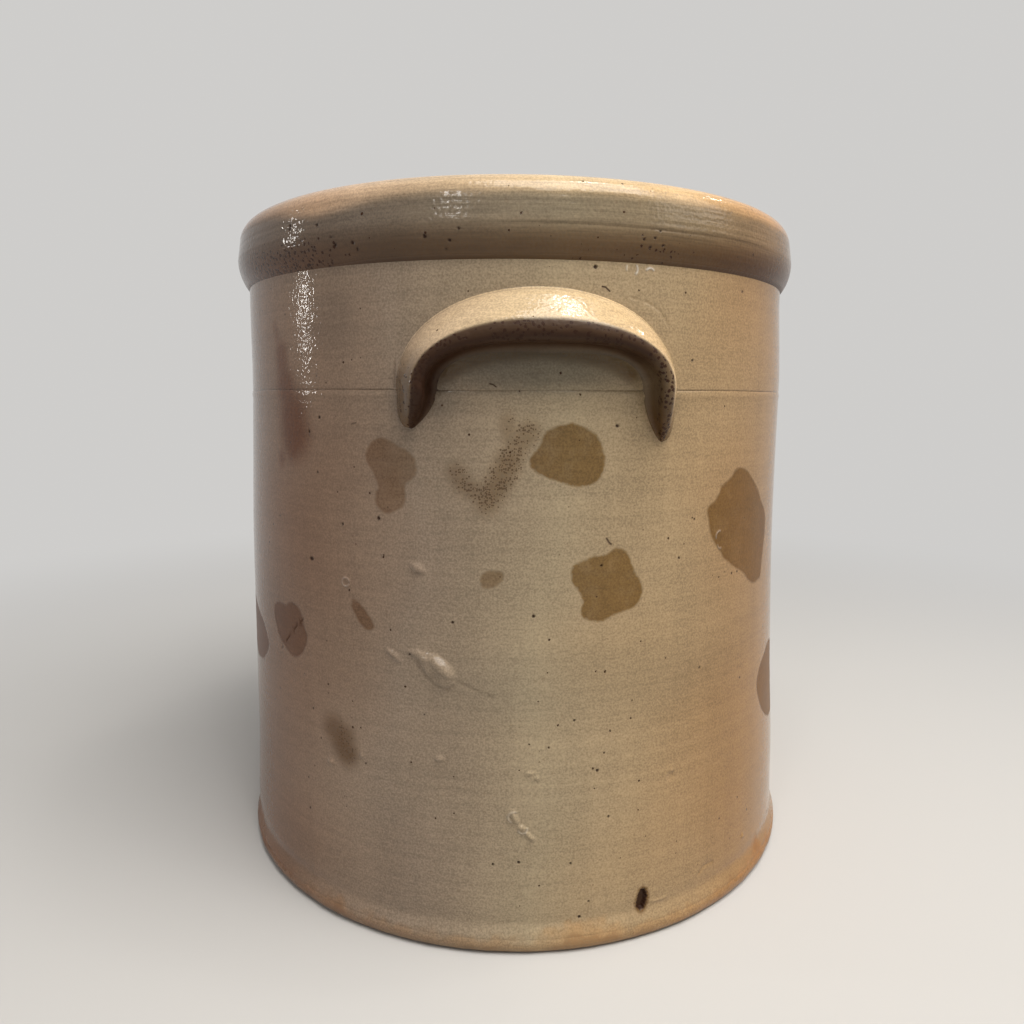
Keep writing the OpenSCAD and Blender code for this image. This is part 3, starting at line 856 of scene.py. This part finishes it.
at_toe = [
    (-0.9, 6.8), (0.2, 6.4), (0.6, 6.0), (0.9, 5.4), (1.1, 4.6), (1.2, 3.8), (1.3, 3.0), (1.3, 2.2),
    (1.3, 1.4), (1.2, 0.7), (1.1, 0.1), (1.0, -0.4), (0.8, -0.8), (0.7, -1.1), (0.5, -1.4), (0.4, -1.7),
    (0.2, -2.0), (0.0, -2.2), (-0.9, -2.4),
]


def mixed(first, second, share):
    """An outline between two others."""
    return [tuple(a + (b - a) * share for a, b in zip(p, q)) for p, q in zip(first, second)]


def round_strap(outline, around):
    """A point on the smooth closed curve through an outline, at a share of the way round it."""
    count = len(outline)
    spot = around * count
    i = int(spot) % count
    t = spot - int(spot)
    a, b, c, d = (Vector(outline[(i + k) % count]) for k in (-1, 0, 1, 2))
    bend = (2 * a - 5 * b + 4 * c - d) * t ** 2 + (3 * b - a - 3 * c + d) * t ** 3
    return 0.5 * (2 * b + (c - a) * t + bend)


def lug(name, node, left_drop, right_drop, lean, seed, half_turn):
    """Rolls a sheet into a strap, bends it into the arch and sets it on the wall."""
    bm = bmesh.new()
    bmesh.ops.create_grid(bm, x_segments=190, y_segments=76, size=1)
    layers = new_marks(bm, "smoke_and_shade", "ash_and_shade", "pitted", "scar_and_shade", "top_light")
    for v in bm.verts:
        run = v.co.x
        around = (v.co.y + 1) / 2 % 1.0
        side = -1 if run < 0 else 1
        if abs(run) <= arch_share:
            bow = math.radians(90 * run / arch_share)
            outline = mixed(at_crown, at_left if side < 0 else at_right, math.sin(bow) ** 2)
            spread = side * abs(math.sin(bow)) ** squareness
            lift, drop, leg = math.cos(bow) ** squareness, 0.0, 0.0
        else:
            leg = (abs(run) - arch_share) / (1 - arch_share)
            outline = mixed(at_left if side < 0 else at_right, at_toe, leg ** 1.6)
            close = math.sqrt(max(0.0, 1 - leg ** 5))
            outline = [(r * close, o * close) for r, o in outline]
            spread, lift = side, 0.0
            drop = leg * (left_drop if side < 0 else right_drop)
        reach, offset = round_strap(outline, around)
        along = (arch_half + offset) * spread + side * lean * leg ** 2
        z = spring_z + (arch_rise + offset) * lift - drop
        rough = noise.noise(Vector((along / 16, z / 16, seed)))
        rough += 0.5 * noise.noise(Vector((along / 6, z / 6, seed)))
        reach += 0.32 * rough * ease(reach, 0.5, 6)
        z += 0.2 * noise.noise(Vector((along / 22, seed, reach / 9))) * ease(reach, 2, 8)
        turn = along / wall_r(spring_z)
        r = (wall_r(z) + reach) * mm
        v.co = Vector((r * math.sin(turn), -r * math.cos(turn), z * mm))
        spot = around * len(at_crown)
        # Painted shade: the lip band and the underside are painted dark brown, partly a brown stain and
        # partly the shade under the turned-down lip; lit makes it weaker on the right leg, which is lit
        lit = 1 - 0.6 * ease(along, 36, 52) - 0.15 * ease(-along, 36, 52)
        to_wall = ease(-spot, -18.4, -17.6)
        lip_stain_and_shade = lit * ease(spot, 6.9, 7.6) * (0.5 + 0.5 * ease(-spot, -17.8, -14.5)) * to_wall
        under = lit * ease(spot, 7.6, 10) * ease(-spot, -18.4, -17.4)
        # The legs turn browner and darker towards their feet
        upper = ease(z, 242, 260) if side < 0 else ease(z, 222, 244)
        wavy = hump(spot + 0.5 * noise.noise(Vector((along / 9, seed, 0))), 9.6, 0.4)
        wavy *= ease(-abs(along), -46, -34)
        v[layers["smoke_and_shade"]] = min(1.0, 0.75 * lip_stain_and_shade + 0.8 * (1 - upper))
        # Painted shade: grey where the underside meets the wall
        v[layers["ash_and_shade"]] = 0.8 * ease(spot, 15.6, 17.2) * ease(-abs(along), -50, -38)
        crowded = ease(spot, 6.9, 7.6) * ease(-spot, -13.5, -11.5)
        v[layers["pitted"]] = crowded * (0.8 + 0.4 * rough) + 0.5 * (1 - upper)
        v[layers["scar_and_shade"]] = min(0.95, 0.86 * lip_stain_and_shade + 0.04 * under + 0.1 * wavy + 0.12 * (1 - upper))
        # Painted light: the top face is painted paler, as if lit from above
        v[layers["top_light"]] = 0.46 * ease(-spot, -7.3, -6.7) * upper
    if half_turn:
        bmesh.ops.rotate(bm, verts=bm.verts, cent=(0, 0, 0), matrix=Matrix.Rotation(math.pi, 3, "Z"))
    bmesh.ops.remove_doubles(bm, verts=bm.verts, dist=same_spot)
    thrown(bm)
    return piece(bm, name, node, "salt_glaze", salt_glaze)


lug("front_lug", "front_handle", 16.5, 22.0, 3.4, 2.0, False)
lug("back_lug", "back_handle", 20.0, 18.0, 2.4, 7.0, True)

# Slip coat
# The inside was coated by pouring in a dark brown clay slip, which melted to a glossy lining in the fire.
# The rings that the fingers left inside show through it.
coat_thick = 1.0
wall_rings = 11
floor_rings = 13
brown_slip, tree, slip, place = finish("brown_slip")
thin = cloud(tree, stretched(tree, place, 3, 3, 130), 1, 4)
pools = cloud(tree, place, 26, 4)
slip_colour = layer(tree, between(tree, thin, 0.35, 0.7), tint(66, 38, 22), tint(112, 68, 38))
slip_colour = layer(tree, between(tree, pools, 0.45, 0.75, 0.0, 0.7), slip_colour, tint(44, 25, 16))
slip_colour = layer(tree, specks(tree, place, 200, 0.7, 0.25), slip_colour, tint(28, 17, 11))
tree.links.new(slip_colour, slip.inputs["Base Color"])
tree.links.new(between(tree, pools, 0.3, 0.7, 0.26, 0.16), slip.inputs["Roughness"])
slip.inputs["IOR"].default_value = 1.52
raised(tree, slip, plus(tree, sum_up(tree, "MULTIPLY", cloud(tree, place, 380, 2), 0.06), thin, 0.15))

inner_top = (tongue_in, neck_z + tongue_h)
inner_neck = (wall_r(neck_z) - wall_thick, neck_z)
inner_cove = (wall_r(floor_z + cove_r) - wall_thick, floor_z + cove_r)
outline = line((0, floor_z), (cove_mid_r, floor_z), 8)
outline += arc((cove_mid_r, floor_z + cove_r), cove_r, -90, 0, 3)[:-1]
outline += line(inner_cove, inner_neck, 6)
outline += [inner_neck, inner_top, (inner_top[0] - coat_thick, inner_top[1])]
outline += line((inner_neck[0] - coat_thick, neck_z), (inner_cove[0] - coat_thick, inner_cove[1]), 3.2)
outline += arc((cove_mid_r, floor_z + cove_r), cove_r - coat_thick, 0, -90, 2)
outline += line((cove_mid_r - 3, floor_z + coat_thick), (0, floor_z + coat_thick), 4)
outline += [(0, floor_z + coat_thick)]
bm = turned(outline)
for v in bm.verts:
    r, z, turn = place_of(v)
    if z > floor_z + cove_r and z < neck_z - 1 and r < wall_r(z) - wall_thick - coat_thick / 2:
        pull = math.sin(math.tau * z / wall_rings + turn)
        pull += 0.6 * noise.noise(Vector((v.co.x * 9, v.co.y * 9, z / 9)))
        push(v, -0.22 * (1 + pull), r)
    elif z < floor_z + coat_thick + 0.05 and z > floor_z + coat_thick / 2 and r > 1:
        swirl = math.sin(math.tau * r / floor_rings + turn) * ease(cove_mid_r - r, 0, 12) * ease(r, 2, 14)
        v.co.z += 0.25 * mm * (1 + swirl) * ease(cove_mid_r - r, 0, 12)
thrown(bm)
piece(bm, "slip_coat", "slip_lining", "slip_glaze", brown_slip)

# Floor and light
# A wide pale floor that fades into the background, a soft lamp above the front, a soft fill at the right,
# and small weak lamps above, at the left and in front, whose reflections sparkle in the glaze.
pale = (0.62, 0.611, 0.598, 1.0)
floor_mesh = bmesh.new()
bmesh.ops.create_circle(floor_mesh, cap_ends=True, segments=96, radius=9)
floor_data = bpy.data.meshes.new("floor")
floor_mesh.to_mesh(floor_data)
floor_mesh.free()
floor = bpy.data.objects.new("floor", floor_data)
bpy.context.scene.collection.objects.link(floor)
floor_paint, tree, paint, place = finish("floor_paint")
paint.inputs["Base Color"].default_value = (0.56, 0.551, 0.538, 1.0)
paint.inputs["Roughness"].default_value = 0.75
paint.inputs["Specular IOR Level"].default_value = 0.2
away = tree.nodes.new("ShaderNodeVectorMath")
away.operation = "LENGTH"
tree.links.new(place, away.inputs[0])
rays = tree.nodes.new("ShaderNodeLightPath")
seen = sum_up(tree, "MAXIMUM", rays.outputs["Is Camera Ray"], rays.outputs["Is Glossy Ray"])
fade = sum_up(tree, "MULTIPLY", between(tree, away.outputs["Value"], 0.2, 1.0), seen)
far = tree.nodes.new("ShaderNodeEmission")
far.inputs["Color"].default_value = pale
join = tree.nodes.new("ShaderNodeMixShader")
tree.links.new(fade, join.inputs[0])
tree.links.new(paint.outputs[0], join.inputs[1])
tree.links.new(far.outputs[0], join.inputs[2])
tree.links.new(join.outputs[0], tree.nodes["Material Output"].inputs["Surface"])
floor_data.materials.append(floor_paint)

world = bpy.data.worlds.new("studio")
bpy.context.scene.world = world
world.use_nodes = True
tree = world.node_tree
backdrop = tree.nodes["Background"]
rays = tree.nodes.new("ShaderNodeLightPath")
seen = sum_up(tree, "MAXIMUM", rays.outputs["Is Camera Ray"], rays.outputs["Is Glossy Ray"])
seen = sum_up(tree, "MAXIMUM", seen, rays.outputs["Is Transmission Ray"])
tree.links.new(layer(tree, seen, (0.30, 0.295, 0.287, 1.0), pale), backdrop.inputs["Color"])
backdrop.inputs["Strength"].default_value = 1.0


def lamp(name, stand, aim, width, height, power, colour):
    """A soft rectangular lamp at a place, turned to a point."""
    light = bpy.data.lights.new(name, "AREA")
    light.shape = "RECTANGLE"
    light.size = width
    light.size_y = height
    light.energy = power
    light.color = colour
    made = bpy.data.objects.new(name, light)
    made.location = stand
    made.rotation_euler = (Vector(aim) - Vector(stand)).to_track_quat("-Z", "Y").to_euler()
    bpy.context.scene.collection.objects.link(made)
    return made


lamp("overhead", (0.3, -0.5, 1.35), (0, -0.05, 0.25), 0.9, 0.9, 20, (1.0, 0.97, 0.925))
lamp("right_fill", (1.2, -0.45, 1.25), (0, 0, 0.16), 0.9, 0.9, 6, (1.0, 0.945, 0.87))
lamp("ceiling_spot", (0.32, -0.12, 1.32), (0, -0.15, 0.27), 0.04, 0.14, 0.7, (1.0, 0.96, 0.9))
lamp("right_spot", (0.91, 0.40, 1.21), (0.03, -0.15, 0.26), 0.05, 0.05, 0.5, (1.0, 0.96, 0.9))
lamp("left_spot", (-1.58, 0.10, 0.48), (-0.1, -0.1, 0.26), 0.03, 0.20, 0.9, (1.0, 0.97, 0.93))
lamp("left_high_spot", (-1.58, 0.18, 0.84), (-0.1, -0.1, 0.31), 0.04, 0.05, 0.5, (1.0, 0.97, 0.93))
lamp("front_glint", (-0.55, -1.10, 0.98), (-0.03, -0.14, 0.31), 0.14, 0.04, 1.1, (1.0, 0.97, 0.93))
lamp("rim_glint", (0.36, -1.00, 1.28), (0.03, -0.14, 0.31), 0.10, 0.05, 0.7, (1.0, 0.97, 0.93))

# Camera
# It stands just below the rim's height, a little to the left of the front handle, and looks slightly down.
camera_data = bpy.data.cameras.new("camera")
camera_data.sensor_width = 36.0
camera_data.lens = 26.86
camera_data.clip_start = 0.01
camera = bpy.data.objects.new("camera", camera_data)
right = Vector((0.99765, -0.06850, 0.0))
up = Vector((0.01056, 0.15378, 0.98805))
ahead = Vector((0.06768, 0.98573, -0.15414))
camera.matrix_world = Matrix((right, up, -ahead)).transposed().to_4x4()
camera.location = Vector((-32.10, -447.85, 239.55)) * mm
bpy.context.scene.collection.objects.link(camera)
bpy.context.scene.camera = camera
bpy.context.scene.view_settings.view_transform = "Standard"
